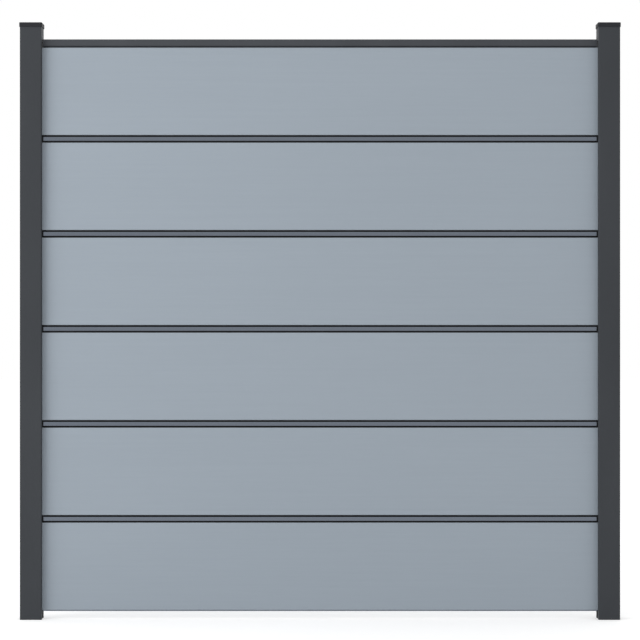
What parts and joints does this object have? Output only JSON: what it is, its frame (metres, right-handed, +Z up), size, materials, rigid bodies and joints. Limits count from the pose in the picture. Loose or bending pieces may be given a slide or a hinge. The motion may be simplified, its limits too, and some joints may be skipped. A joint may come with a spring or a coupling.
{
  "type": "composite fence panel",
  "caption": "Privacy fence bay of stacked hollow composite boards with inlaid joints, held in the channels of two capped square aluminium posts.",
  "frame": {"origin": "on the ground, midway between the two posts and midway through their depth", "axes": "+X along the panel to the right as seen from the front, +Y to the back, +Z up"},
  "size_m": [1.894, 0.072, 1.881],
  "materials": {
    "board": "co-extruded composite, smooth matt",
    "post": "powder coat, fine matt",
    "cap": "moulded nylon, fine grain",
    "rail": "powder coat, fine matt",
    "profile": "powder coat, black",
    "trim": "anodised, satin grey",
    "gasket": "extruded rubber",
    "block": "moulded plastic",
    "screw": "stainless"
  },
  "bodies": {
    "root": {"bottom_rail": "trim", "top_rail": "rail", "board_1": "board", "board_2": "board", "board_3": "board", "board_4": "board", "board_5": "board", "board_6": "board", "joint_profile_1": "profile", "front_inlay_1": "trim", "back_inlay_1": "trim", "joint_profile_2": "profile", "front_inlay_2": "trim", "back_inlay_2": "trim", "joint_profile_3": "profile", "front_inlay_3": "trim", "back_inlay_3": "trim", "joint_profile_4": "profile", "front_inlay_4": "trim", "back_inlay_4": "trim", "joint_profile_5": "profile", "front_inlay_5": "trim", "back_inlay_5": "trim", "right_post": "post", "right_groove_cover": "post", "right_inner_cover": "post", "right_post_cap": "cap", "right_support_block": "block", "right_back_gasket": "gasket", "right_front_gasket": "gasket", "left_post": "post", "left_groove_cover": "post", "left_inner_cover": "post", "left_post_cap": "cap", "left_support_block": "block", "left_back_gasket": "gasket", "left_front_gasket": "gasket", "block_screws": "screw"}
  },
  "joints": []
}
